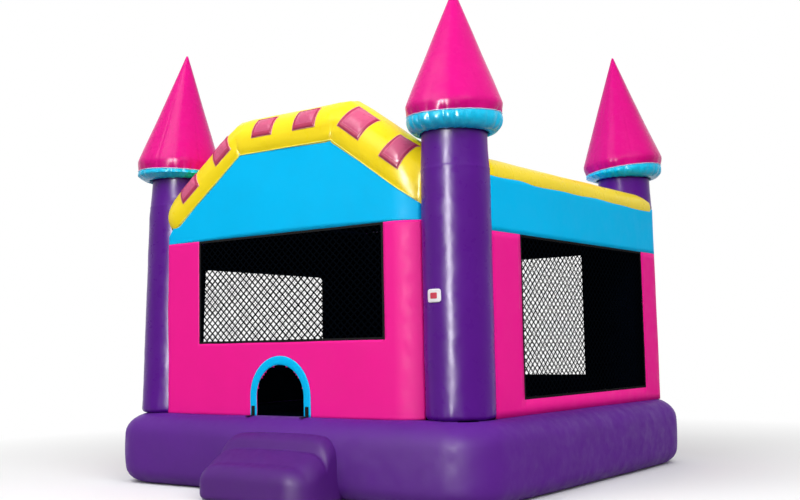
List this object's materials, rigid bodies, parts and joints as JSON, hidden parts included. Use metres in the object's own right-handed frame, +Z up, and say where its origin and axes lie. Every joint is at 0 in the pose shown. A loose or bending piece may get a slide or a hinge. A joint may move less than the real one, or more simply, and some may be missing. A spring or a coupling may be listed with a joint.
{
  "type": "inflatable bounce house",
  "caption": "Air-filled play house on a square ring base: corner turrets, net-windowed sheet walls, gabled front arch, round-topped door and entry step.",
  "frame": {"origin": "on the ground at the centre of the four columns, on the underside of the bounce floor", "axes": "+Z up, -Y out of the front with the door, +X to the right seen from the front"},
  "size_m": [4.5551, 5.7403, 4.543],
  "materials": {
    "purple_vinyl": "gloss",
    "column_vinyl": "gloss",
    "floor_vinyl": "satin",
    "teal_vinyl": "gloss",
    "cone_vinyl": "gloss",
    "yellow_vinyl": "gloss",
    "pad_vinyl": "gloss",
    "pink_vinyl": "satin",
    "blue_vinyl": "satin",
    "roof_vinyl": "satin",
    "black_net": "matte",
    "black_webbing": "matte",
    "sleeve_fabric": "satin",
    "black_plastic": "satin",
    "plated_steel": "satin"
  },
  "bodies": {
    "root": {"anchor_straps": "black_webbing", "arch_pads": "pad_vinyl", "back_beam": "yellow_vinyl", "back_net": "black_net", "back_valance": "blue_vinyl", "back_wall": "pink_vinyl", "base_tube_back": "purple_vinyl", "base_tube_front": "purple_vinyl", "base_tube_left": "purple_vinyl", "base_tube_right": "purple_vinyl", "bounce_floor": "floor_vinyl", "column_back_left": "column_vinyl", "column_back_right": "column_vinyl", "column_front_left": "column_vinyl", "column_front_right": "column_vinyl", "door_tabs": "black_webbing", "door_trim": "blue_vinyl", "entry_step": "purple_vinyl", "front_arch_beam": "yellow_vinyl", "front_gable_panel": "blue_vinyl", "front_net": "black_net", "front_wall": "pink_vinyl", "inflation_sleeve": "sleeve_fabric", "left_beam": "yellow_vinyl", "left_net": "black_net", "left_valance": "blue_vinyl", "left_wall": "pink_vinyl", "right_beam": "yellow_vinyl", "right_net": "black_net", "right_valance": "blue_vinyl", "right_wall": "pink_vinyl", "roof_cover": "roof_vinyl", "sleeve_band": "black_webbing", "sleeve_buckle": "black_plastic", "turret_collar_back_left": "teal_vinyl", "turret_collar_back_right": "teal_vinyl", "turret_collar_front_left": "teal_vinyl", "turret_collar_front_right": "teal_vinyl", "turret_cone_back_left": "cone_vinyl", "turret_cone_back_right": "cone_vinyl", "turret_cone_front_left": "cone_vinyl", "turret_cone_front_right": "cone_vinyl", "zip_chain": "black_plastic", "zip_tape": "black_webbing"},
    "anchor_ring_back_1": {"anchor_ring_back_1": "plated_steel"},
    "anchor_ring_back_2": {"anchor_ring_back_2": "plated_steel"},
    "anchor_ring_left_1": {"anchor_ring_left_1": "plated_steel"},
    "anchor_ring_left_2": {"anchor_ring_left_2": "plated_steel"},
    "zip_slider": {"zip_slider": "plated_steel"},
    "zip_pull": {"zip_pull": "plated_steel"}
  },
  "joints": [
    {"name": "anchor_ring_back_1_swing", "type": "hinge", "parent": "root", "child": "anchor_ring_back_1", "pos_m": [-1.3, 2.2777, 0.118], "axis": [1, 0, 0], "range_deg": [0, 150]},
    {"name": "anchor_ring_back_2_swing", "type": "hinge", "parent": "root", "child": "anchor_ring_back_2", "pos_m": [1.3, 2.2777, 0.118], "axis": [1, 0, 0], "range_deg": [0, 150]},
    {"name": "anchor_ring_left_1_swing", "type": "hinge", "parent": "root", "child": "anchor_ring_left_1", "pos_m": [-2.2777, -1.3, 0.118], "axis": [0, 1, 0], "range_deg": [0, 150]},
    {"name": "anchor_ring_left_2_swing", "type": "hinge", "parent": "root", "child": "anchor_ring_left_2", "pos_m": [-2.2777, 1.3, 0.118], "axis": [0, 1, 0], "range_deg": [0, 150]},
    {"name": "zip_slide", "type": "slide", "parent": "root", "child": "zip_slider", "axis": [-1, 0, 0], "range_m": [0, 0.558]},
    {"name": "zip_pull_hinge", "type": "hinge", "parent": "zip_slider", "child": "zip_pull", "pos_m": [1.287, 2.2874, 0.353], "axis": [0, 0, -1], "range_deg": [0, 150]}
  ]
}
